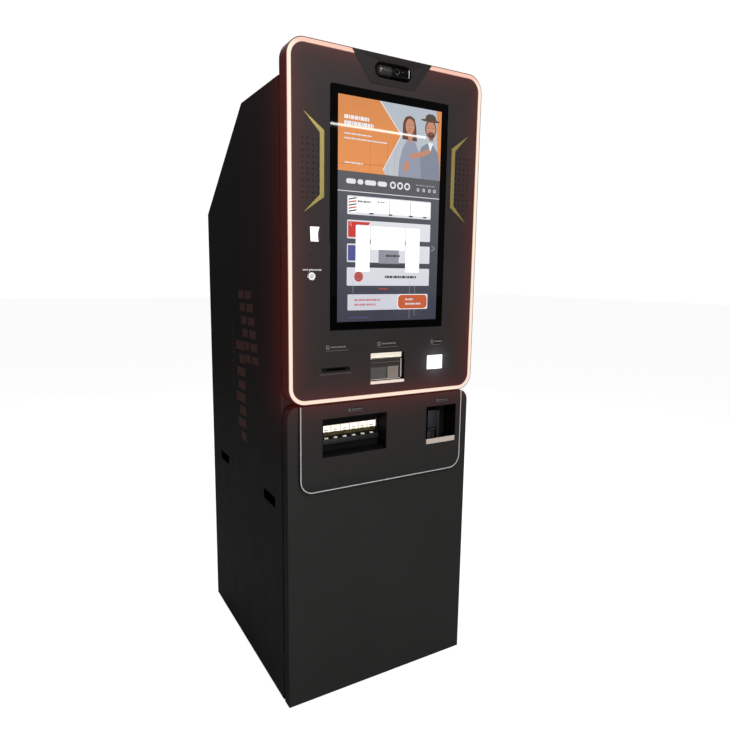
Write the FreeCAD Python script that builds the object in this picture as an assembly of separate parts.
"""Free-standing cash kiosk: steel cabinet, two front doors, note and coin units.

Every sub-part is one STEP file in parts/. Millimetres, +Z up, the front faces -Y and the
origin is at the middle of the footprint, on the floor. Depths are counted backwards from
the front plane of the upper door, so a depth d lies at y = FRONT_Y + d.
"""
import FreeCAD, Part
import math
import os

from FreeCAD import Vector

os.makedirs("parts", exist_ok=True)

# ---------------------------------------------------------------- driving dimensions
UPPER_DOOR_W = 628.0
UPPER_DOOR_H = 944.0
LOWER_DOOR_H = 906.0
BODY_W = 626.0
BODY_DEPTH = 752.0          # front plane of the upper door to the back of the cabinet
GROUND_GAP = 12.0           # cabinet floor above the ground, on its levelling feet
DOOR_GAP = 4.0              # between the lower and the upper door
ROOF_Z = 1782.0
ROOF_BACK_D = 354.6         # depth at which the roof turns down into the slope
KNEE_Z = 1489.0             # height at which the slope meets the upright back
CAMERA_PROUD = 6.0          # the camera stands this far in front of the door

SHEET = 2.5                 # cabinet sheet
FOLD = 2.0                  # door sheet
UPPER_R = 50.0              # corner radius of the upper door
LOWER_R = 36.0              # top corner radius of the lower door
DOOR_BACK_D = 47.0          # back plane of both doors
BODY_FRONT_D = 56.0         # front plane of the cabinet frame
LOWER_FACE_D = 13.25        # the lower door stands back from the upper one
FACE_D = 1.0                # painted face; lights and trims stand 1 mm proud of it
FIT = 0.2                   # gap around a piece let into a cut-out
RUNNING = 0.05              # radial clearance of a turning shaft

FRONT_Y = -(BODY_DEPTH + CAMERA_PROUD) / 2 + CAMERA_PROUD
HALF_DOOR = UPPER_DOOR_W / 2
HALF_BODY = BODY_W / 2
INNER_X = HALF_BODY - SHEET
LOWER_Z0 = GROUND_GAP
LOWER_Z1 = LOWER_Z0 + LOWER_DOOR_H
UPPER_Z0 = LOWER_Z1 + DOOR_GAP
UPPER_Z1 = UPPER_Z0 + UPPER_DOOR_H
FLOOR_T = 6.0
FLOOR_TOP = GROUND_GAP + FLOOR_T

# lights and trims of the upper door
LED_INSET = 1.5
LED_W = 12.0
LED_DEPTH = 10.0
FACE_INSET = LED_INSET + LED_W
SCREEN_HALF = 192.0
SCREEN_Z = (1125.2, 1769.6)
RECEIPT_HALF = 58.5
RECEIPT_Z = (964.0, 1055.0)
CARD_X = (-215.0, -126.4)
CARD_Z = (1010.5, 1022.5)
SCAN_X = (141.0, 198.6)
SCAN_Z = (995.0, 1038.0)
FINGER_X = (-250.5, -220.8)
FINGER_Z = (1362.3, 1404.2)
FINGER_WAIST = 6.0
CALL_X, CALL_Z, CALL_R = -244.6, 1273.3, 10.0
BEZEL_R, BEZEL_LONG = CALL_R + 3.0, 14.0
MIC_Z = 1329.0
GRILLE_X = 271.5            # outermost column of sound holes, from the middle
GRILLE_Z = 1474.0           # lowest row
GRILLE_PITCH = 15.0
GRILLE_COLS, GRILLE_ROWS = 4, 11
SOUND_HOLE_R = 2.3

# camera plate and its pill-shaped recess
PLATE_TOP_HALF = 129.5
PLATE_LOW_HALF = 70.6
PLATE_Z0 = 1787.5
PLATE_LOW_R = 12.0
PILL_HALF = 59.0
PILL_R = 20.8
PILL_Z = 1825.8
PLATE_T, PILL_WALL, PILL_DEPTH = 3.5, 1.5, 31.5
WEBCAM_HALF = 53.0
WEBCAM_R = 15.0
WEBCAM_D = WEBCAM_R - CAMERA_PROUD
SPINDLE_R = 2.5

# raised fascia of the lower door, with the note and coin recesses
FASCIA_HALF = 280.0
FASCIA_Z0 = 666.0
FASCIA_R = 40.0
TRIM_W = 3.0
NOTE_X = (-210.0, -2.0)
NOTE_Z = (767.0, 875.0)
COIN_X = (146.0, 257.5)
COIN_Z = (757.0, 875.0)
COIN_LIP_H = 16.0

# hinges, locks and feet
HINGE_X = -310.5
HINGE_D = 51.5
KNUCKLE_R = 3.5
PIN_R = 2.0
HINGE_HALF_H = 40.0
UPPER_HINGES_Z = (990.0, 1330.0, 1660.0)
LOWER_HINGES_Z = (90.0, 430.0, 780.0)
LOCK_D = 114.0
UPPER_LOCK_Z, LOWER_LOCK_Z = 1400.0, 480.0
FOOT_X, FOOT_D = 262.0, (110.0, 700.0)
ANCHOR_X, ANCHOR_D, ANCHOR_R = 285.0, (200.0, 620.0), 7.0
CABLE_X, CABLE_D, CABLE_R = 150.0, 680.0, 30.0

FAN_Z, FAN_R = 1370.0, 56.0
PAPER_D, PAPER_Z, PAPER_R, PAPER_W = 172.0, 1012.0, 40.0, 80.0
ROLLER_D, ROLLER_Z, ROLLER_R = 52.0, 801.0, 8.0
ROLLER_PITCH, ROLLER_COUNT, ROLLER_W = 30.4, 6, 13.0


# ---------------------------------------------------------------- shape helpers
def box(x, d, z):
    """Box from (low, high) pairs in x, depth and z."""
    corner = Vector(x[0], FRONT_Y + d[0], z[0])
    return Part.makeBox(x[1] - x[0], d[1] - d[0], z[1] - z[0], corner)


def rod(direction, start, radius, length):
    """Cylinder from its start (x, depth, z) along a direction."""
    base = Vector(start[0], FRONT_Y + start[1], start[2])
    return Part.makeCylinder(radius, length, base, Vector(*direction))


def rounded_wire(corners):
    """Closed outline in the XZ plane from (x, z, radius) corners."""
    edges = []
    ends = []
    count = len(corners)
    for i, (x, z, radius) in enumerate(corners):
        here = Vector(x, 0, z)
        to_last = (Vector(corners[i - 1][0], 0, corners[i - 1][1]) - here).normalize()
        after = corners[(i + 1) % count]
        to_next = (Vector(after[0], 0, after[1]) - here).normalize()
        if radius <= 0:
            ends.append((here, here, None))
            continue
        half = to_last.getAngle(to_next) / 2
        reach = radius / math.tan(half)
        centre = here + (to_last + to_next).normalize() * (radius / math.sin(half))
        middle = centre + (here - centre).normalize() * radius
        ends.append((here + to_last * reach, here + to_next * reach, middle))
    for i, (start, end, middle) in enumerate(ends):
        if middle is not None:
            edges.append(Part.Arc(start, middle, end).toShape())
        following = ends[(i + 1) % count][0]
        if end.distanceToPoint(following) > 1e-6:
            edges.append(Part.LineSegment(end, following).toShape())
    return Part.Wire(edges)


def slab(corners, d0, d1):
    """Flat plate with a rounded outline, between two depths."""
    face = Part.Face(rounded_wire(corners))
    solid = face.extrude(Vector(0, d1 - d0, 0))
    solid.translate(Vector(0, FRONT_Y + d0, 0))
    return solid


def rectangle(x, z, radius=0.0, top_radius=None):
    """Corners of a rectangle; the two upper ones may have their own radius."""
    top = radius if top_radius is None else top_radius
    return [(x[0], z[0], radius), (x[1], z[0], radius), (x[1], z[1], top), (x[0], z[1], top)]


def grown(span, amount):
    return (span[0] - amount, span[1] + amount)


def profile(points, x0, x1):
    """Prism along X from (depth, z) points."""
    corners = [Vector(x0, FRONT_Y + d, z) for d, z in points]
    return Part.Face(Part.makePolygon(corners + corners[:1])).extrude(Vector(x1 - x0, 0, 0))


def mirrored(shape):
    return shape.mirror(Vector(0, 0, 0), Vector(1, 0, 0))


def tube_box(x, d, z, wall, along):
    """Rectangular tube, open along one axis given as 0, 1 or 2."""
    spans = [x, d, z]
    inner = [span if i == along else grown(span, -wall) for i, span in enumerate(spans)]
    return box(*spans).cut(box(*inner))


def save(name, *solids):
    """Write one node; several solids make a group of separate pieces."""
    shape = solids[0] if len(solids) == 1 else Part.makeCompound(list(solids))
    assert shape.isValid(), name
    shape.exportStep("parts/" + name + ".step")


# ---------------------------------------------------------------- cabinet sheets
def slope_inner_points():
    """Where the inside of the sloped sheet meets the roof and the back sheet."""
    run = BODY_DEPTH - ROOF_BACK_D
    drop = ROOF_Z - KNEE_Z
    length = math.hypot(run, drop)
    start_d = ROOF_BACK_D - SHEET * drop / length
    start_z = ROOF_Z - SHEET * run / length
    at_roof = start_d + (start_z - (ROOF_Z - SHEET)) * run / drop
    at_back = start_z - (BODY_DEPTH - SHEET - start_d) * drop / run
    return (at_roof, ROOF_Z - SHEET), (BODY_DEPTH - SHEET, at_back)


HAND_SLOT_Z = (597.0, 629.0)
HAND_SLOTS_D = ((110.0, 208.0), (561.0, 661.0))


def side_panel(locks):
    """Five-sided side sheet with two hand slots, seen from the left."""
    points = [(BODY_FRONT_D, GROUND_GAP), (BODY_FRONT_D, ROOF_Z), (ROOF_BACK_D, ROOF_Z),
              (BODY_DEPTH, KNEE_Z), (BODY_DEPTH, GROUND_GAP)]
    panel = profile(points, -HALF_BODY, -INNER_X)
    for slot in HAND_SLOTS_D:
        panel = panel.cut(box((-HALF_BODY - 1, -INNER_X + 1), slot, HAND_SLOT_Z))
    for z in locks:
        panel = panel.cut(rod((1, 0, 0), (-HALF_BODY - 1, LOCK_D, z), LOCK_BARREL_R + FIT, SHEET + 2))
    return panel


VENT_PITCH, VENT_H = 12.0, 4.5
FAN_VENT_X, FAN_VENT_ROWS = (-52.0, 52.0), 9
LOW_VENT_X, LOW_VENT_Z, LOW_VENT_ROWS = (20.0, 180.0), 210.0, 8
DOOR_VENT_X, DOOR_VENT_Z, DOOR_VENT_ROWS = (-150.0, 150.0), 1600.0, 8
INLET_X, INLET_Z = (218.0, 266.0), (104.0, 134.0)


def vent_rows(x, z0, rows, through, pitch=VENT_PITCH, height=VENT_H):
    """Rows of level air slots as one cutting shape."""
    slots = []
    for row in range(rows):
        low = z0 + row * pitch
        slots.append(box(x, through, (low, low + height)))
    return Part.makeCompound(slots)


def cabinet():
    at_roof, at_back = slope_inner_points()
    save("side_panel_left", side_panel(()))
    save("side_panel_right", mirrored(side_panel((UPPER_LOCK_Z, LOWER_LOCK_Z))))
    roof = [(BODY_FRONT_D, ROOF_Z), (ROOF_BACK_D, ROOF_Z), at_roof, (BODY_FRONT_D, at_roof[1])]
    save("roof_panel", profile(roof, -INNER_X, INNER_X))
    slope = [(ROOF_BACK_D, ROOF_Z), (BODY_DEPTH, KNEE_Z), at_back, at_roof]
    save("rear_slope_panel", profile(slope, -INNER_X, INNER_X))
    back = [(BODY_DEPTH, GROUND_GAP), (BODY_DEPTH, KNEE_Z), at_back, (at_back[0], GROUND_GAP)]
    rear = profile(back, -INNER_X, INNER_X)
    through = (BODY_DEPTH - SHEET - 1, BODY_DEPTH + 1)
    fan_vent_z = FAN_Z - VENT_PITCH * (FAN_VENT_ROWS - 1) / 2
    low_vents = vent_rows(LOW_VENT_X, LOW_VENT_Z, LOW_VENT_ROWS, through)
    cuts = [vent_rows(FAN_VENT_X, fan_vent_z, FAN_VENT_ROWS, through), low_vents,
            mirrored(low_vents), box(INLET_X, through, INLET_Z)]
    save("rear_panel", rear.cut(cuts))


def base_plate():
    plate = box((-INNER_X, INNER_X), (BODY_FRONT_D, BODY_DEPTH - SHEET), (GROUND_GAP, FLOOR_TOP))
    holes = [rod((0, 0, 1), (CABLE_X, CABLE_D, 0), CABLE_R, FLOOR_TOP + 1)]
    for side in (-1, 1):
        for d in ANCHOR_D:
            holes.append(rod((0, 0, 1), (side * ANCHOR_X, d, 0), ANCHOR_R, FLOOR_TOP + 1))
        for d in FOOT_D:
            holes.append(rod((0, 0, 1), (side * FOOT_X, d, 0), STEM_R + RUNNING, FLOOR_TOP + 1))
    save("base_plate", plate.cut(Part.makeCompound(holes)))


POST_X = (276.0, INNER_X)
FRAME_D = (BODY_FRONT_D, BODY_FRONT_D + 25.0)
TOP_RAIL_Z = (1752.0, ROOF_Z - SHEET)
MIDDLE_RAIL_Z = (885.0, 950.0)
SILL_Z = (FLOOR_TOP, 60.0)
GASKET_X, GASKET_W = 290.0, 11.0
UPPER_GASKET_Z, LOWER_GASKET_Z = (937.0, 1776.0), (31.0, 904.0)
GASKET_SQUEEZE_GAP = 0.4
SHELF_T, SHELF_TURN = 3.0, 20.0


def front_frame():
    """Welded front frame of rectangular tube: two posts and three rails."""
    post = tube_box(POST_X, FRAME_D, (FLOOR_TOP, ROOF_Z - SHEET), FOLD, 2)
    rails = [tube_box((-POST_X[0], POST_X[0]), FRAME_D, z, FOLD, 0)
             for z in (TOP_RAIL_Z, MIDDLE_RAIL_Z, SILL_Z)]
    save("front_frame", post, mirrored(post), *rails)


def gasket_ring(span_z):
    """Rubber seal on the frame, just short of the closed door."""
    depth = (DOOR_BACK_D + GASKET_SQUEEZE_GAP, BODY_FRONT_D)
    span_x = (-GASKET_X, GASKET_X)
    outer = slab(rectangle(span_x, span_z, 4), *depth)
    return outer.cut(slab(rectangle(grown(span_x, -GASKET_W), grown(span_z, -GASKET_W), 2), *depth))


def shelf_tray(x, d, z):
    """Folded shelf: a flat sheet with its front and back edges turned down."""
    top = box(x, d, (z, z + SHELF_T))
    front = box(x, (d[0], d[0] + SHELF_T), (z - SHELF_TURN, z))
    back = box(x, (d[1] - SHELF_T, d[1]), (z - SHELF_TURN, z))
    return top.fuse([front, back]).removeSplitter()


# ---------------------------------------------------------------- hinges, locks and feet
LEAF_END_X, LEAF_T = -291.0, 2.0
PIN_SHORT = 6.0             # the pin ends this far below the top of the upper half
KNUCKLE_GAP = 0.5


def frame_hinge_half(z):
    """Lower half of a lift-off hinge, with the pin pressed in, screwed to the frame."""
    knuckle = rod((0, 0, 1), (HINGE_X, HINGE_D, z), KNUCKLE_R, HINGE_HALF_H)
    pin = rod((0, 0, 1), (HINGE_X, HINGE_D, z + HINGE_HALF_H), PIN_R, HINGE_HALF_H - PIN_SHORT)
    leaf = box((HINGE_X, LEAF_END_X), (BODY_FRONT_D - LEAF_T, BODY_FRONT_D), (z, z + HINGE_HALF_H))
    return knuckle.fuse([pin, leaf]).removeSplitter()


def door_hinge_half(z):
    """Upper half of the hinge, welded to the back of a door."""
    low = z + HINGE_HALF_H + KNUCKLE_GAP
    high = low + HINGE_HALF_H
    knuckle = rod((0, 0, 1), (HINGE_X, HINGE_D, low), KNUCKLE_R, HINGE_HALF_H)
    leaf = box((HINGE_X, LEAF_END_X), (DOOR_BACK_D, DOOR_BACK_D + LEAF_T), (low, high))
    bore = rod((0, 0, 1), (HINGE_X, HINGE_D, low - 1), PIN_R + RUNNING, HINGE_HALF_H - 4)
    return knuckle.fuse(leaf).cut(bore)


LOCK_BARREL_R, LOCK_BARREL_X = 11.0, 266.2
LOCK_FLANGE_R, LOCK_FLANGE_T = 14.5, 0.8
LOCK_PLUG_R = 8.0
LOCK_OUT_X = HALF_BODY + LOCK_FLANGE_T
KEY_SLOT_W, KEY_SLOT_H, KEY_SLOT_DEEP = 1.6, 8.0, 6.0
CAM_X = (262.0, 265.0)
CAM_REACH, CAM_W = 35.0, 12.0
STRIKER_X = (254.0, 257.0)
STRIKER_END_D = 125.0
STRIKER_RISE = (14.0, 34.0) # height of the striker above its lock
STRIKER_FOOT_X = 300.0
STRIKER_FOOT_T = 2.5


def lock_barrel(z):
    """Fixed barrel of a cam lock, through the right side sheet."""
    barrel = rod((1, 0, 0), (LOCK_BARREL_X, LOCK_D, z), LOCK_BARREL_R, LOCK_OUT_X - LOCK_BARREL_X)
    flange = rod((1, 0, 0), (HALF_BODY, LOCK_D, z), LOCK_FLANGE_R, LOCK_FLANGE_T)
    bore = rod((1, 0, 0), (LOCK_BARREL_X - 1, LOCK_D, z), LOCK_PLUG_R + RUNNING, HALF_BODY / 5)
    return barrel.fuse(flange).cut(bore)


def lock_cam(z):
    """Turning plug with a key slot outside and a cam inside, cam towards the front."""
    plug = rod((1, 0, 0), (CAM_X[1], LOCK_D, z), LOCK_PLUG_R, LOCK_OUT_X - 0.4 - CAM_X[1])
    arm = box(CAM_X, (LOCK_D - CAM_REACH, LOCK_D), (z - CAM_W / 2, z + CAM_W / 2))
    boss = rod((1, 0, 0), (CAM_X[0], LOCK_D, z), LOCK_PLUG_R, CAM_X[1] - CAM_X[0])
    slot = box((LOCK_OUT_X - KEY_SLOT_DEEP, LOCK_OUT_X + 1),
               (LOCK_D - KEY_SLOT_W / 2, LOCK_D + KEY_SLOT_W / 2),
               (z - KEY_SLOT_H / 2, z + KEY_SLOT_H / 2))
    return plug.fuse([arm, boss]).removeSplitter().cut(slot)


def striker(z):
    """Hook on a door that the lock's cam holds: foot, arm and lip."""
    height = (z + STRIKER_RISE[0], z + STRIKER_RISE[1])
    foot_d = (DOOR_BACK_D - FOLD - STRIKER_FOOT_T, DOOR_BACK_D - FOLD)
    foot = box((STRIKER_X[0], STRIKER_FOOT_X), foot_d, height)
    arm = box(STRIKER_X, (foot_d[0], STRIKER_END_D), height)
    lip = box((STRIKER_X[1], CAM_X[1] + 0.5), (STRIKER_END_D - 3, STRIKER_END_D), height)
    return foot.fuse([arm, lip])


STEM_R, STEM_H = 6.0, 42.0
PAD_R, PAD_H = 25.0, 4.0
CROWN_R, CROWN_H = 10.0, 3.5
HEX_ACROSS, NUT_H = 19.0, 8.0
HEX_Z = 7.0                 # foot of the turning hexagon above the ground
HEX_GAP = 0.3


def hexagon(x, d, z, across, height):
    radius = across / math.sqrt(3)
    points = [Vector(x + radius * math.cos(math.pi * i / 3),
                     FRONT_Y + d + radius * math.sin(math.pi * i / 3), z) for i in range(7)]
    return Part.Face(Part.makePolygon(points)).extrude(Vector(0, 0, height))


def levelling_foot(x, d):
    """Pad, stem, turning hexagon below the base plate and locking nut above it."""
    pad = Part.makeCylinder(PAD_R, PAD_H, Vector(x, FRONT_Y + d, 0))
    crown = Part.makeCone(PAD_R, CROWN_R, CROWN_H, Vector(x, FRONT_Y + d, PAD_H))
    stem = Part.makeCylinder(STEM_R, STEM_H, Vector(x, FRONT_Y + d, HEX_Z))
    low_hex = hexagon(x, d, HEX_Z, HEX_ACROSS, GROUND_GAP - HEX_GAP - HEX_Z)
    nut = hexagon(x, d, FLOOR_TOP + HEX_GAP, HEX_ACROSS, NUT_H)
    return pad.fuse([crown, stem, low_hex, nut]).removeSplitter()


# ---------------------------------------------------------------- upper door
def door_outline(inset):
    span_x = (-HALF_DOOR + inset, HALF_DOOR - inset)
    span_z = (UPPER_Z0 + inset, UPPER_Z1 - inset)
    return rectangle(span_x, span_z, max(UPPER_R - inset, 6.0))


def ring(inset0, inset1, d0, d1):
    return slab(door_outline(inset0), d0, d1).cut(slab(door_outline(inset1), d0 - 1, d1 + 1))


def camera_outline(gap=0.0):
    """Trapezoid under the top edge of the door, its lower corners rounded."""
    top = UPPER_Z1 - LED_INSET - FIT if gap == 0 else UPPER_Z1 + 5
    slope = (PLATE_TOP_HALF - PLATE_LOW_HALF) / (UPPER_Z1 - PLATE_Z0)
    low_half = PLATE_LOW_HALF + gap
    top_half = low_half + (top - PLATE_Z0) * slope
    low = PLATE_Z0 - gap
    return [(-low_half, low, PLATE_LOW_R), (low_half, low, PLATE_LOW_R),
            (top_half, top, 0), (-top_half, top, 0)]


CHANNEL_D, CHANNEL_W, CHANNEL_T = 11.0, 17.0, 1.5
FLANGE_W = 40.0
FACE_T = 2.5
MIC_R = 1.8


def upper_door_rim():
    wall = ring(0, LED_INSET, FACE_D, DOOR_BACK_D)
    channel = ring(0, CHANNEL_W, CHANNEL_D, CHANNEL_D + CHANNEL_T)
    flange = ring(0, FLANGE_W, DOOR_BACK_D - FOLD, DOOR_BACK_D)
    halves = [door_hinge_half(z) for z in UPPER_HINGES_Z]
    rim = wall.fuse([channel, flange, striker(UPPER_LOCK_Z)] + halves)
    save("upper_door_rim", rim.removeSplitter())


def sound_holes(d0, d1):
    holes = []
    for side in (-1, 1):
        for column in range(GRILLE_COLS):
            for row in range(GRILLE_ROWS):
                x = side * (GRILLE_X - column * GRILLE_PITCH)
                z = GRILLE_Z + row * GRILLE_PITCH
                holes.append(rod((0, 1, 0), (x, d0, z), SOUND_HOLE_R, d1 - d0))
    return holes


def finger_outline(gap=0.0):
    """Window of the finger reader, its right side drawn in towards the bottom."""
    x0, x1 = grown(FINGER_X, gap)
    z0, z1 = grown(FINGER_Z, gap)
    waist = x1 - FINGER_WAIST
    corner = 1.5
    return [(x0, z0, corner), (waist, z0, corner), (waist + 0.6, z0 + 20, 20),
            (x1, z1, corner), (x0, z1, corner)]


def upper_door_face():
    """Painted front sheet inside the light strip, with every cut-out of the fascia."""
    face = slab(door_outline(FACE_INSET), FACE_D, FACE_D + FACE_T)
    lip = ring(FACE_INSET, FACE_INSET + 2, FACE_D, CHANNEL_D)
    cut = (FACE_D - 1, CHANNEL_D + 1)
    face = face.fuse(lip)
    cuts = [slab(camera_outline(FIT), *cut),
            slab(rectangle((-SCREEN_HALF, SCREEN_HALF), SCREEN_Z, 3), *cut),
            slab(rectangle((-RECEIPT_HALF, RECEIPT_HALF), RECEIPT_Z, 2), *cut),
            slab(rectangle(CARD_X, CARD_Z, 1.5), *cut),
            slab(rectangle(SCAN_X, SCAN_Z, 2), *cut),
            slab(finger_outline(), *cut),
            rod((0, 1, 0), (CALL_X, 0, CALL_Z), BEZEL_R, CHANNEL_D),
            rod((0, 1, 0), (CALL_X, 0, MIC_Z), MIC_R, CHANNEL_D)]
    save("upper_door_face", face.cut(cuts + sound_holes(*cut)).removeSplitter())


def led_diffuser():
    strip = ring(LED_INSET + FIT, FACE_INSET - FIT, 0, LED_DEPTH)
    save("led_diffuser", strip.cut(slab(camera_outline(FIT), -1, LED_DEPTH + 1)))


def pill(half, radius, d0, d1):
    span_z = (PILL_Z - radius, PILL_Z + radius)
    return slab(rectangle((-half, half), span_z, radius - 0.01), d0, d1)


def camera_plate():
    """Gloss plate with a closed pill-shaped pocket behind it."""
    plate = slab(camera_outline(), 0, PLATE_T)
    pocket = pill(PILL_HALF + PILL_WALL, PILL_R + PILL_WALL, PLATE_T, PILL_DEPTH + PILL_WALL)
    cavity = pill(PILL_HALF, PILL_R, -1, PILL_DEPTH)
    bores = rod((1, 0, 0), (-PLATE_LOW_HALF, WEBCAM_D, PILL_Z), SPINDLE_R + RUNNING, 2 * PLATE_LOW_HALF)
    save("camera_plate", plate.fuse(pocket).cut([cavity, bores]).removeSplitter())


def webcam():
    """Capsule-shaped camera on a level spindle, with a lens window and a lamp window."""
    straight = WEBCAM_HALF - WEBCAM_R
    body = rod((1, 0, 0), (-straight, WEBCAM_D, PILL_Z), WEBCAM_R, 2 * straight)
    ends = [Part.makeSphere(WEBCAM_R, Vector(side * straight, FRONT_Y + WEBCAM_D, PILL_Z))
            for side in (-1, 1)]
    spindle = rod((1, 0, 0), (-PILL_HALF - 1, WEBCAM_D, PILL_Z), SPINDLE_R, 2 * PILL_HALF + 2)
    save("webcam", body.fuse(ends + [spindle]).removeSplitter())


def accent(side):
    """Gilt bracket-shaped trim beside the screen, pointed at both ends."""
    points = [(-268.5, 1691.0), (-221.6, 1642.6), (-221.6, 1486.0), (-268.5, 1438.0),
              (-208.9, 1480.5), (-208.9, 1649.0)]
    corners = [(side * -x, z, 0) for x, z in points]
    return slab(corners, 0.2, FACE_D)


SPEAKER_HALF_W, SPEAKER_HALF_H, SPEAKER_R = 31.0, 85.0, 26.0
SPEAKER_FRAME_D = (FACE_D + 2.7, FACE_D + 6.0)
BASKET_LONG, MAGNET_R = 14.0, 22.0


def racetrack_speaker(side):
    centre_x = side * (GRILLE_X - 1.5 * GRILLE_PITCH)
    centre_z = GRILLE_Z + (GRILLE_ROWS - 1) / 2 * GRILLE_PITCH
    span_x = (centre_x - SPEAKER_HALF_W, centre_x + SPEAKER_HALF_W)
    span_z = (centre_z - SPEAKER_HALF_H, centre_z + SPEAKER_HALF_H)
    frame = slab(rectangle(span_x, span_z, SPEAKER_R), *SPEAKER_FRAME_D)
    back_d = SPEAKER_FRAME_D[1]
    basket = Part.makeCone(28, 18, BASKET_LONG, Vector(centre_x, FRONT_Y + back_d, centre_z),
                           Vector(0, 1, 0))
    magnet = rod((0, 1, 0), (centre_x, back_d + BASKET_LONG, centre_z), MAGNET_R, BASKET_LONG)
    return frame.fuse([basket, magnet])


THROAT_HALF_W, THROAT_HALF_H = 30.0, 2.6    # a bank card is 54 mm wide
CARD_READER_HALF_W, CARD_READER_HALF_H = 37.0, 26.0
CARD_READER_D = (FACE_D + 9.0, 150.0)
CARD_PATH_END = 130.0


def card_reader():
    """Mouth piece with a card slot, and the motor reader behind it."""
    mid_x = sum(CARD_X) / 2
    face_back = FACE_D + FACE_T
    nose = slab(rectangle(grown(CARD_X, -FIT), grown(CARD_Z, -FIT), 1.3), FACE_D + 0.6, face_back)
    flange = box(grown(CARD_X, 8), (face_back, CARD_READER_D[0]), grown(CARD_Z, 8))
    slot_z = sum(CARD_Z) / 2
    throat_x = (mid_x - THROAT_HALF_W, mid_x + THROAT_HALF_W)
    throat_z = (slot_z - THROAT_HALF_H, slot_z + THROAT_HALF_H)
    throat = box(throat_x, (0, CARD_PATH_END), throat_z)
    save("card_reader_mouth", nose.fuse(flange).removeSplitter().cut(throat))
    body = box((mid_x - CARD_READER_HALF_W, mid_x + CARD_READER_HALF_W), CARD_READER_D,
               (slot_z - CARD_READER_HALF_H, slot_z + CARD_READER_HALF_H))
    save("card_reader", body.cut(throat))


POCKET_END_D, POCKET_WALL = 26.0, 2.0
POCKET_D = (FACE_D + FACE_T, POCKET_END_D)
POCKET_BACK_D = POCKET_END_D - 3.0
PAPER_SLOT_HALF, PAPER_SLOT_Z = 42.0, (1012.0, 1020.0)
LAMP_FRONT_D, LAMP_H = 18.0, 17.0
LIP_H, LIP_DEEP = 8.0, 9.0
PRINTER_HALF, PRINTER_D, PRINTER_Z = 60.0, (POCKET_END_D + 0.2, 118.0), (968.0, 1056.0)
ROLL_ARM_X, ROLL_ARM_T, ROLL_ARM_HALF_H = 45.5, 3.0, 14.0
CORE_R, CORE_HALF = 4.0, 47.0


def receipt_unit():
    """Lit pocket with a steel lip, printer and paper holder."""
    span_x = (-RECEIPT_HALF, RECEIPT_HALF)
    outer = box(grown(span_x, POCKET_WALL), POCKET_D, grown(RECEIPT_Z, POCKET_WALL))
    inner = box(span_x, (0, POCKET_BACK_D), RECEIPT_Z)
    mouth = box((-PAPER_SLOT_HALF, PAPER_SLOT_HALF), (POCKET_BACK_D - 1, POCKET_END_D + 1), PAPER_SLOT_Z)
    save("receipt_pocket", outer.cut([inner, mouth]))
    fitted_x = grown(span_x, -FIT)
    lamp_z = (RECEIPT_Z[1] - FIT - LAMP_H, RECEIPT_Z[1] - FIT)
    save("receipt_lamp", slab(rectangle(fitted_x, lamp_z, 1), LAMP_FRONT_D, POCKET_BACK_D))
    lip_z = (RECEIPT_Z[0] + FIT, RECEIPT_Z[0] + LIP_H)
    save("receipt_lip", slab(rectangle(fitted_x, lip_z, 2.2), 0, LIP_DEEP))
    body = box((-PRINTER_HALF, PRINTER_HALF), PRINTER_D, PRINTER_Z)
    path = box((1 - PAPER_SLOT_HALF, PAPER_SLOT_HALF - 1), (POCKET_END_D, 60), grown(PAPER_SLOT_Z, -1))
    arms = [box((x - ROLL_ARM_T / 2, x + ROLL_ARM_T / 2), (PRINTER_D[1], PAPER_D + 8),
                (PAPER_Z - ROLL_ARM_HALF_H, PAPER_Z + ROLL_ARM_HALF_H))
            for x in (-ROLL_ARM_X, ROLL_ARM_X)]
    bores = rod((1, 0, 0), (-PRINTER_HALF, PAPER_D, PAPER_Z), CORE_R + RUNNING, 2 * PRINTER_HALF)
    save("receipt_printer", body.cut(path).fuse(arms).cut(bores).removeSplitter())


FLAP_D, FLAP_Z = 19.0, RECEIPT_Z[1] - 20.0
FLAP_HALF, FLAP_T, FLAP_RAIL_R = 56.5, 2.0, 1.8


def receipt_flap():
    """Clear flap hung from two pivot stubs under the lamp."""
    sheet = box((-FLAP_HALF, FLAP_HALF), (FLAP_D - FLAP_T / 2, FLAP_D + FLAP_T / 2),
                (RECEIPT_Z[0] + LIP_H + 1, FLAP_Z))
    rail_half = RECEIPT_HALF - 0.3
    rail = rod((1, 0, 0), (-rail_half, FLAP_D, FLAP_Z), FLAP_RAIL_R, 2 * rail_half)
    save("receipt_flap", sheet.fuse(rail).removeSplitter())


def paper_roll():
    """Thermal paper on its plastic core, the core's stubs in the holder's arms."""
    roll = rod((1, 0, 0), (-PAPER_W / 2, PAPER_D, PAPER_Z), PAPER_R, PAPER_W)
    core = rod((1, 0, 0), (-CORE_HALF, PAPER_D, PAPER_Z), CORE_R, 2 * CORE_HALF)
    save("paper_roll", roll.fuse(core).removeSplitter())


def call_button():
    """Sprung push button and its bright bezel ring."""
    front_d = FACE_D - 0.6
    outer = rod((0, 1, 0), (CALL_X, front_d, CALL_Z), BEZEL_R - FIT, BEZEL_LONG - front_d)
    hole = rod((0, 1, 0), (CALL_X, 0, CALL_Z), CALL_R + 0.35, BEZEL_LONG + 1)
    save("call_button_ring", outer.cut(hole))
    cap = rod((0, 1, 0), (CALL_X, front_d, CALL_Z), CALL_R, 9)
    stem = rod((0, 1, 0), (CALL_X, 9, CALL_Z), 4, 16)
    save("call_button", cap.fuse(stem).removeSplitter())


BACK_SHEET_Z0 = 1100.0
GLASS_FIT, GLASS_T = 0.4, 4.0
PANEL_HALF_W, PANEL_HALF_H, PANEL_T = 181.0, 314.0, 16.0   # a 27 inch panel on end
SCANNER_END_D, FINGER_END_D = 62.0, 30.0


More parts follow.
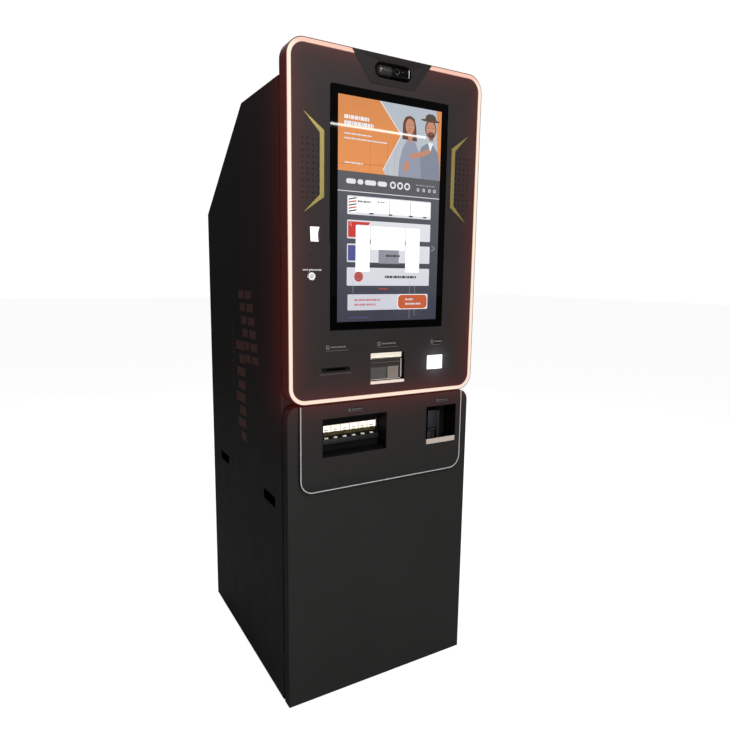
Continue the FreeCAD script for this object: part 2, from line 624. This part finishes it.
def upper_door():
    upper_door_rim()
    upper_door_face()
    led_diffuser()
    camera_plate()
    webcam()
    save("accent_trims", accent(-1), accent(1))
    back_half = HALF_DOOR - FLANGE_W - 0.5
    back_z = (BACK_SHEET_Z0, UPPER_Z1 - FLANGE_W - 0.5)
    through = (DOOR_BACK_D - FOLD - 1, DOOR_BACK_D + 1)
    back = slab(rectangle((-back_half, back_half), back_z, 2, 9.5), DOOR_BACK_D - FOLD, DOOR_BACK_D)
    notch_z = (UPPER_LOCK_Z + STRIKER_RISE[0] - 2, UPPER_LOCK_Z + STRIKER_RISE[1] + 2)
    notch = box((STRIKER_X[0] - 2, back_half + 1), through, notch_z)
    vents = vent_rows(DOOR_VENT_X, DOOR_VENT_Z, DOOR_VENT_ROWS, through)
    save("upper_door_back", back.cut([notch, vents]))
    glass_x = (-SCREEN_HALF + GLASS_FIT, SCREEN_HALF - GLASS_FIT)
    glass_back = FACE_D + GLASS_T
    save("touch_glass", slab(rectangle(glass_x, grown(SCREEN_Z, -GLASS_FIT), 2.6), FACE_D, glass_back))
    mid = sum(SCREEN_Z) / 2
    panel = slab(rectangle((-PANEL_HALF_W, PANEL_HALF_W), (mid - PANEL_HALF_H, mid + PANEL_HALF_H), 2),
                 glass_back, glass_back + PANEL_T)
    driver = box((-90, 90), (glass_back + PANEL_T, glass_back + PANEL_T + 12), (mid - 140, mid + 60))
    save("lcd_panel", panel.fuse(driver).removeSplitter())
    save("speakers", racetrack_speaker(-1), racetrack_speaker(1))
    card_reader()
    behind_face = FACE_D + FACE_T + 0.2
    window = slab(rectangle(grown(SCAN_X, -FIT), grown(SCAN_Z, -FIT), 1.8), FACE_D, FACE_D + FACE_T)
    save("scanner_window", window)
    save("scanner_module", box(grown(SCAN_X, 4), (behind_face, SCANNER_END_D), grown(SCAN_Z, 8)))
    pad = slab(finger_outline(-FIT), FACE_D - 0.4, behind_face)
    module = box(grown(FINGER_X, 10), (behind_face, FINGER_END_D), grown(FINGER_Z, 10))
    save("finger_reader", pad.fuse(module).removeSplitter())
    call_button()
    receipt_unit()
    receipt_flap()
    paper_roll()


# ---------------------------------------------------------------- lower door
LOWER_FLANGE_W = 30.0
TRAY_END_D, TRAY_WALL = 62.0, 2.0


def lower_outline(inset):
    span_x = (-HALF_BODY + inset, HALF_BODY - inset)
    span_z = (LOWER_Z0 + inset, LOWER_Z1 - inset)
    return rectangle(span_x, span_z, 1.0, max(LOWER_R - inset, 3.0))


def lower_door_pan():
    """One folded sheet: front, four sides and a back flange, with hinges and striker."""
    outer = slab(lower_outline(0), LOWER_FACE_D, DOOR_BACK_D)
    hollow = slab(lower_outline(FOLD), LOWER_FACE_D + FOLD, DOOR_BACK_D - FOLD)
    mouth = slab(lower_outline(LOWER_FLANGE_W), DOOR_BACK_D - FOLD - 1, DOOR_BACK_D + 1)
    pan = outer.cut([hollow, mouth])
    for x, z in ((NOTE_X, NOTE_Z), (COIN_X, COIN_Z)):
        pan = pan.cut(box(grown(x, FOLD), (LOWER_FACE_D - 1, LOWER_FACE_D + 5), grown(z, FOLD)))
    halves = [door_hinge_half(z) for z in LOWER_HINGES_Z]
    save("lower_door_pan", pan.fuse(halves + [striker(LOWER_LOCK_Z)]).removeSplitter())


def fascia_outline(inset, top_inset=0.0):
    span_x = (-FASCIA_HALF + inset, FASCIA_HALF - inset)
    span_z = (FASCIA_Z0 + inset, LOWER_Z1 - top_inset)
    return rectangle(span_x, span_z, FASCIA_R - inset, 0.0)


def fascia():
    """Raised panel on the lower door, edged on three sides with a bright strip."""
    solid = slab(fascia_outline(0), FACE_D, LOWER_FACE_D)
    hollow = slab(fascia_outline(5, 5), FACE_D + FOLD, LOWER_FACE_D + 1)
    rebate = slab(fascia_outline(-2, -2), FACE_D - 1, FACE_D + 3)
    rebate = rebate.cut(slab(fascia_outline(TRIM_W, -3), FACE_D - 2, FACE_D + 4))
    cuts = [hollow, rebate]
    for x, z in ((NOTE_X, NOTE_Z), (COIN_X, COIN_Z)):
        cuts.append(box(grown(x, FOLD), (0, LOWER_FACE_D + 1), grown(z, FOLD)))
    save("lower_fascia", solid.cut(cuts).removeSplitter())
    strip = slab(fascia_outline(0), FACE_D - 0.6, FACE_D + 3)
    save("fascia_trim", strip.cut(slab(fascia_outline(TRIM_W, -3), -1, FACE_D + 4)))


def recess_sleeves():
    """Sleeve through the door in front of the note mouth, and the coin tray."""
    sleeve = box(grown(NOTE_X, FOLD), (FACE_D, DOOR_BACK_D - 1), grown(NOTE_Z, FOLD))
    save("note_sleeve", sleeve.cut(box(NOTE_X, (0, DOOR_BACK_D), NOTE_Z)))
    tray = box(grown(COIN_X, FOLD), (FACE_D, TRAY_END_D), grown(COIN_Z, FOLD))
    inner = box(COIN_X, (0, TRAY_END_D - TRAY_WALL), COIN_Z)
    window_d = (TRAY_END_D - TRAY_WALL - 1, TRAY_END_D + 1)
    window = box(grown(COIN_NOSE_X, 5), window_d, grown(COIN_NOSE_Z, 5))
    save("coin_tray", tray.cut([inner, window]))
    lip_z = (COIN_Z[0] + FIT, COIN_Z[0] + COIN_LIP_H)
    save("coin_lip", slab(rectangle(grown(COIN_X, -FIT), lip_z, 1), 0, 5))


# ---------------------------------------------------------------- note and coin units
MOUTH_D = (49.0, 66.0)
MOUTH_X = (-216.0, 4.0)
SLOT_X = (-204.0, -8.0)
SLOT_Z = (811.0, 824.0)
LAMP_Z = (824.0, 844.0)
COIN_NOSE_X = (165.0, 213.0)
COIN_NOSE_Z = (801.0, 859.0)
CHASSIS_X = (-226.0, 14.0)
CHASSIS_D, CHASSIS_TOP, CHASSIS_T = (95.0, 560.0), 882.0, 3.0
SILL_X, SILL_LEDGE_Z, SILL_DEEP = (-206.0, -6.0), (789.0, 805.0), 5.0
SHUTTER_D, SHUTTER_Z, SHUTTER_TOP = (57.0, 59.0), (808.0, 826.0), 845.0
SHUTTER_PLAY = 0.4
LAMP_SEAT = 5.0
SHAFT_R = 2.5
UNIT_X = (-205.0, -7.0)
TRANSPORT_Z, TRANSPORT_END_D = (772.0, 878.0), 540.0
CASSETTE_D, CASSETTE_H = (112.0, 520.0), 148.0
CASSETTE_Z0, CASSETTE_PITCH, CASSETTES = 60.0, 172.0, 4
GRIP_X, GRIP_Z = (-150.0, -62.0), (92.0, 130.0)
HOPPER_X, HOPPER_LONG, HOPPER_TOP, HOPPER_WALL = (110.0, 250.0), 170.0, 740.0, 6.0
HOPPERS_D = (135.0, 330.0)
BOWL_Z0 = 650.0


def roller_positions():
    middle = sum(NOTE_X) / 2 + 5.0
    first = middle - ROLLER_PITCH * (ROLLER_COUNT - 1) / 2
    return [first + i * ROLLER_PITCH for i in range(ROLLER_COUNT)]


def note_mouth():
    """Moulded mouth piece with its lamp, rising shutter and a row of feed rollers."""
    bezel = box(MOUTH_X, MOUTH_D, (NOTE_Z[0] - 4, NOTE_Z[1] + 4))
    sill = box(SILL_X, (MOUTH_D[0] - SILL_DEEP, MOUTH_D[0]), SILL_LEDGE_Z)
    before_d = MOUTH_D[0] - SILL_DEEP - 1
    slot = box(SLOT_X, (before_d, MOUTH_D[1] + 1), SLOT_Z)
    lamp_seat = box(SLOT_X, (before_d, MOUTH_D[0] + LAMP_SEAT + FIT), LAMP_Z)
    shutter_way = box(grown(SLOT_X, 1), grown(SHUTTER_D, SHUTTER_PLAY), (SHUTTER_Z[0] - 1, SHUTTER_TOP))
    cuts = [slot, lamp_seat, shutter_way]
    for x in roller_positions():
        start = (x - ROLLER_W / 2 - 0.8, ROLLER_D, ROLLER_Z)
        cuts.append(rod((1, 0, 0), start, ROLLER_R + 0.7, ROLLER_W + 1.6))
    ends = grown(SLOT_X, 3)
    shaft_long = ends[1] - ends[0]
    cuts.append(rod((1, 0, 0), (ends[0] - 0.5, ROLLER_D, ROLLER_Z), SHAFT_R + RUNNING, shaft_long + 1))
    save("note_mouth", bezel.fuse(sill).removeSplitter().cut(cuts))
    lamp_d = (MOUTH_D[0] - 1.5, MOUTH_D[0] + LAMP_SEAT)
    save("note_mouth_lamp", slab(rectangle(grown(SLOT_X, -FIT), grown(LAMP_Z, -FIT), 1.5), *lamp_d))
    save("note_shutter", box(grown(SLOT_X, 0.5), SHUTTER_D, SHUTTER_Z))
    shaft = rod((1, 0, 0), (ends[0], ROLLER_D, ROLLER_Z), SHAFT_R, shaft_long)
    wheels = [rod((1, 0, 0), (x - ROLLER_W / 2, ROLLER_D, ROLLER_Z), ROLLER_R, ROLLER_W)
              for x in roller_positions()]
    save("note_feed_rollers", shaft.fuse(wheels).removeSplitter())


def note_cassette(z):
    """Lockable note cassette with a carrying handle in its front."""
    front_d = CASSETTE_D[0]
    well_z = (z + GRIP_Z[0], z + GRIP_Z[1])
    case = box(UNIT_X, CASSETTE_D, (z, z + CASSETTE_H))
    grip_well = box(GRIP_X, (front_d - 1, front_d + 28), well_z)
    bar = box(GRIP_X, (front_d + 1, front_d + 9), grown(well_z, -(GRIP_Z[1] - GRIP_Z[0]) / 3))
    return case.cut(grip_well).fuse(bar)


def note_unit():
    note_mouth()
    save("note_transport", box(UNIT_X, (MOUTH_D[1] + 1, TRANSPORT_END_D), TRANSPORT_Z))
    upright_z = (FLOOR_TOP + CHASSIS_T, CHASSIS_TOP)
    back_d = (CHASSIS_D[1] - CHASSIS_T, CHASSIS_D[1])
    plates = [box((CHASSIS_X[0], CHASSIS_X[0] + CHASSIS_T), CHASSIS_D, upright_z),
              box((CHASSIS_X[1] - CHASSIS_T, CHASSIS_X[1]), CHASSIS_D, upright_z),
              box(CHASSIS_X, CHASSIS_D, (FLOOR_TOP, FLOOR_TOP + CHASSIS_T)),
              box(grown(CHASSIS_X, -CHASSIS_T), back_d, upright_z)]
    save("note_unit_frame", *plates)
    levels = [CASSETTE_Z0 + i * CASSETTE_PITCH for i in range(CASSETTES)]
    save("note_cassettes", *[note_cassette(z) for z in levels])


COIN_SHELF_Z = 557.0


def coin_hopper(d):
    """Coin hopper: a motor base with an open bowl on top."""
    span_d = (d, d + HOPPER_LONG)
    outer = box(HOPPER_X, span_d, (COIN_SHELF_Z + SHELF_T, HOPPER_TOP))
    bowl = box(grown(HOPPER_X, -HOPPER_WALL), grown(span_d, -HOPPER_WALL), (BOWL_Z0, HOPPER_TOP + 1))
    return outer.cut(bowl)


def coin_unit():
    low, high = COIN_NOSE_Z
    split = (low + 21, low + 25)
    x = COIN_NOSE_X
    body_d, chute_d = 100, (104, 130)
    blocks = [box(x, (26, body_d), (low, split[0])), box(x, (22, body_d), (split[1], high)),
              box(grown(x, -4), (32, body_d), grown(split, 1)),
              box(x, (body_d, chute_d[1]), (low, high)),
              box(x, chute_d, (HOPPER_TOP + 0.5, low))]
    save("coin_nose", blocks[0].fuse(blocks[1:]).removeSplitter())
    save("coin_hoppers", *[coin_hopper(d) for d in HOPPERS_D])


# ---------------------------------------------------------------- equipment
FAN_HALF, FAN_DEEP = 60.0, 25.0
FAN_GAP = 1.0               # between the housing and the rear sheet
SPIDER_HALF_W, SPIDER_T = 4.0, 3.0
HUB_R, HUB_LONG, AXLE_R = 19.0, 18.0, 2.5
BLADES, BLADE_HALF_W, BLADE_PITCH_DEG = 7, 9.0, 32.0


def fan():
    """Axial fan behind the rear grille: square housing and bladed rotor."""
    front_d = BODY_DEPTH - SHEET - FAN_GAP - FAN_DEEP
    span_z = (FAN_Z - FAN_HALF, FAN_Z + FAN_HALF)
    housing = slab(rectangle((-FAN_HALF, FAN_HALF), span_z, 4), front_d, front_d + FAN_DEEP)
    bore = rod((0, 1, 0), (0, front_d - 1, FAN_Z), FAN_R + 1.5, FAN_DEEP + 2)
    spider_d = (front_d, front_d + SPIDER_T)
    upright = box((-SPIDER_HALF_W, SPIDER_HALF_W), spider_d, grown(span_z, -1))
    level_z = (FAN_Z - SPIDER_HALF_W, FAN_Z + SPIDER_HALF_W)
    level = box(grown((-FAN_HALF, FAN_HALF), -1), spider_d, level_z)
    axle = rod((0, 1, 0), (0, front_d, FAN_Z), AXLE_R, HUB_LONG)
    save("fan_housing", housing.cut(bore).fuse([upright, level, axle]).removeSplitter())
    hub_d = front_d + SPIDER_T + 1
    blade_d = hub_d + HUB_LONG / 2
    hub = rod((0, 1, 0), (0, hub_d, FAN_Z), HUB_R, HUB_LONG)
    blades = []
    for i in range(BLADES):
        blade = box((-BLADE_HALF_W, BLADE_HALF_W), (blade_d - 1, blade_d + 1),
                    (FAN_Z + HUB_R - 3, FAN_Z + FAN_R - 1))
        centre = Vector(0, FRONT_Y + blade_d, FAN_Z)
        blade.rotate(centre, Vector(0, 0, 1), BLADE_PITCH_DEG)
        blade.rotate(centre, Vector(0, 1, 0), i * 360 / BLADES)
        blades.append(blade)
    socket = rod((0, 1, 0), (0, hub_d - 1, FAN_Z), AXLE_R + RUNNING, HUB_LONG - 2)
    save("fan_rotor", hub.fuse(blades).cut(socket).removeSplitter())


SHELF_Z = 952.0
SHELF_D, COIN_SHELF_D = (230.0, 700.0), (90.0, 560.0)
COMPUTER_X, COMPUTER_D, COMPUTER_H = (-190.0, 150.0), (430.0, 690.0), 90.0
COMPUTER_FOOT_R, COMPUTER_FOOT_H = 9.0, 6.0
SUPPLY_X, SUPPLY_D, SUPPLY_H = (190.0, 290.0), (470.0, 670.0), 60.0
INLET_DEEP, SOCKET_DEEP = 26.5, 16.0


def equipment():
    top = SHELF_Z + SHELF_T
    main_shelf = shelf_tray((-INNER_X, INNER_X), SHELF_D, SHELF_Z)
    coin_shelf = shelf_tray((CHASSIS_X[1], INNER_X), COIN_SHELF_D, COIN_SHELF_Z)
    save("equipment_shelves", main_shelf, coin_shelf)
    case_z0 = top + COMPUTER_FOOT_H
    case = box(COMPUTER_X, COMPUTER_D, (case_z0, case_z0 + COMPUTER_H))
    feet = [rod((0, 0, 1), (x, d, top), COMPUTER_FOOT_R, COMPUTER_FOOT_H)
            for x in grown(COMPUTER_X, -20) for d in grown(COMPUTER_D, -20)]
    ports = box((-60, 100), (COMPUTER_D[0] - 1, COMPUTER_D[0] + 1), (case_z0 + 14, case_z0 + 44))
    save("computer", case.fuse(feet).cut(ports).removeSplitter())
    supply = box(SUPPLY_X, SUPPLY_D, (top, top + SUPPLY_H))
    supply_vents = vent_rows(grown(SUPPLY_X, 1), top + 44, 2, grown(SUPPLY_D, -30), 7, 3.5)
    save("power_supply", supply.cut(supply_vents))
    flange = box(grown(INLET_X, -FIT), (BODY_DEPTH - INLET_DEEP, BODY_DEPTH), grown(INLET_Z, -FIT))
    socket = box(grown(INLET_X, -11), (BODY_DEPTH - SOCKET_DEEP, BODY_DEPTH + 1), grown(INLET_Z, -7))
    mid_x, mid_z = sum(INLET_X) / 2, sum(INLET_Z) / 2
    pins = [box((x - 1, x + 1), (BODY_DEPTH - SOCKET_DEEP - 1, BODY_DEPTH - 4), (z - 2.5, z + 2.5))
            for x, z in ((mid_x - 6, mid_z - 3), (mid_x, mid_z + 3), (mid_x + 6, mid_z - 3))]
    save("power_inlet", flange.cut(socket).fuse(pins))
    fan()


def main():
    cabinet()
    base_plate()
    front_frame()
    save("door_gaskets", gasket_ring(UPPER_GASKET_Z), gasket_ring(LOWER_GASKET_Z))
    hinges = [frame_hinge_half(z) for z in UPPER_HINGES_Z + LOWER_HINGES_Z]
    save("frame_hinge_halves", *hinges)
    save("lock_barrels", lock_barrel(UPPER_LOCK_Z), lock_barrel(LOWER_LOCK_Z))
    save("upper_lock_cam", lock_cam(UPPER_LOCK_Z))
    save("lower_lock_cam", lock_cam(LOWER_LOCK_Z))
    for row, d in zip(("front", "rear"), FOOT_D):
        for name, side in (("left", -1), ("right", 1)):
            save("levelling_foot_" + row + "_" + name, levelling_foot(side * FOOT_X, d))
    upper_door()
    lower_door_pan()
    fascia()
    recess_sleeves()
    note_unit()
    coin_unit()
    equipment()


main()
